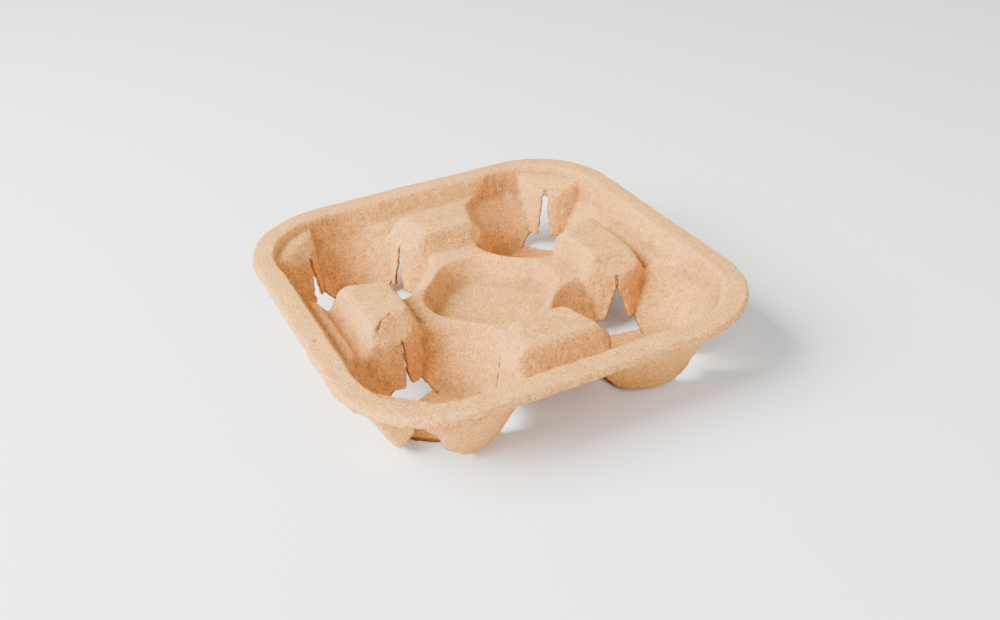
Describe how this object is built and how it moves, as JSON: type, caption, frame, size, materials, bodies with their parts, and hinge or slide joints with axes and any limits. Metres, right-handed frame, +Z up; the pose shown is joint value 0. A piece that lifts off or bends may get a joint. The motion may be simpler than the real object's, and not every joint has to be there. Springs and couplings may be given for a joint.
{
  "type": "drinks cup carrier tray",
  "caption": "Moulded paper-pulp drinks carrier tray with tapered, slotted cup pockets, raised humps between them, a middle well and a rolled rim.",
  "frame": {"origin": "on the resting plane of the feet, under the middle of the tray", "axes": "+Z up; +X and +Y parallel to the straight sides of the rim, with the four pockets towards the corners"},
  "size_m": [0.215, 0.215, 0.048],
  "materials": {
    "pulp": "matte, fibrous moulded paper pulp"
  },
  "bodies": {
    "root": {"carrier": "pulp"}
  },
  "joints": []
}
